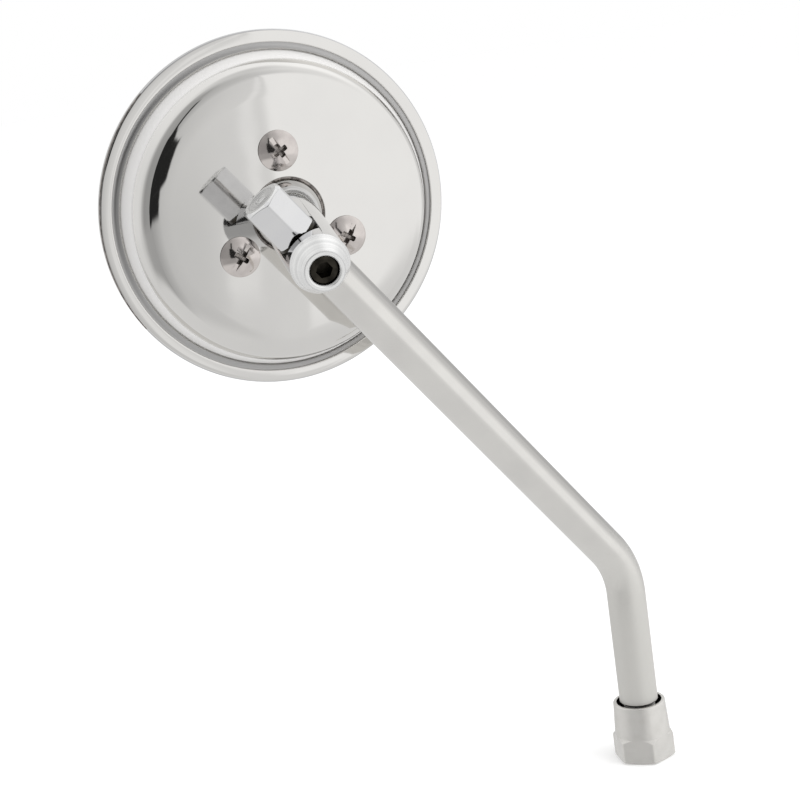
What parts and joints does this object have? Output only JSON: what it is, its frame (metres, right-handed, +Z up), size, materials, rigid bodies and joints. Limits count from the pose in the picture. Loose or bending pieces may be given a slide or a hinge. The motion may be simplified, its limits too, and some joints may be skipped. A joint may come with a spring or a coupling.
{
  "type": "motorcycle mirror",
  "caption": "Round chromed motorcycle mirror with a crowned back shell on a ball stud, swivelling on the top of a bent round stem with a collared lock nut at its threaded foot",
  "frame": {"origin": "centre of the lock nut's lower face, on the axis of the lower stem", "axes": "+Z up along the lower stem, the arm leans to -X in the XZ plane, the glass looks to +Y and the shell's back to -Y"},
  "size_m": [0.1379, 0.079, 0.2394],
  "materials": {
    "chrome": "bright chrome plate, smooth",
    "satin_chrome": "chrome plate over brushed rod, soft sheen",
    "nickel": "bright nickel plate, slightly warm",
    "zinc_steel": "plain zinc plate",
    "black_oxide": "black oxide, oiled",
    "mirror": "silvered glass",
    "rubber": "black rubber, matt",
    "seat_plastic": "natural nylon, matt",
    "pad": "dark foam tape, matt"
  },
  "bodies": {
    "stem": {"stem": "satin_chrome", "swivel_nut": "chrome", "spring_washer": "black_oxide"},
    "lock_nut": {"lock_nut": "chrome"},
    "stud": {"ball_stud": "chrome", "grub_screw": "black_oxide"},
    "front_seat": {"ball_seat_front": "seat_plastic"},
    "rear_seat": {"ball_seat_rear": "seat_plastic"},
    "head": {"back_shell": "chrome", "rim_ring": "chrome", "glass_gasket": "rubber", "mirror_glass": "mirror", "backing_pad": "pad", "socket_dish": "chrome", "clamp_plate": "zinc_steel", "clamp_screws": "nickel", "clamp_nuts": "zinc_steel"}
  },
  "joints": [
    {"name": "stud_swivel", "type": "hinge", "parent": "stem", "child": "stud", "pos_m": [-0.08989, 0, 0.17805], "axis": [-0.6157, 0, 0.788], "continuous": true},
    {"name": "head_tilt_across", "type": "hinge", "parent": "stud", "child": "front_seat", "pos_m": [-0.07939, 0.03398, 0.18625], "axis": [-0.6157, 0, 0.788], "range_deg": [-23.8, 4.2]},
    {"name": "head_tilt_along", "type": "hinge", "parent": "front_seat", "child": "rear_seat", "pos_m": [-0.07939, 0.03398, 0.18625], "axis": [-0.7719, 0.2011, -0.6031], "range_deg": [-18.2, 9.8]},
    {"name": "head_spin", "type": "hinge", "parent": "rear_seat", "child": "head", "pos_m": [-0.07939, 0.03398, 0.18625], "axis": [-0.2031, -0.9769, -0.0658], "continuous": true},
    {"name": "lock_nut_run", "type": "slide", "parent": "stem", "child": "lock_nut", "axis": [0, 0, 1], "range_m": [0, 0.0095]}
  ]
}
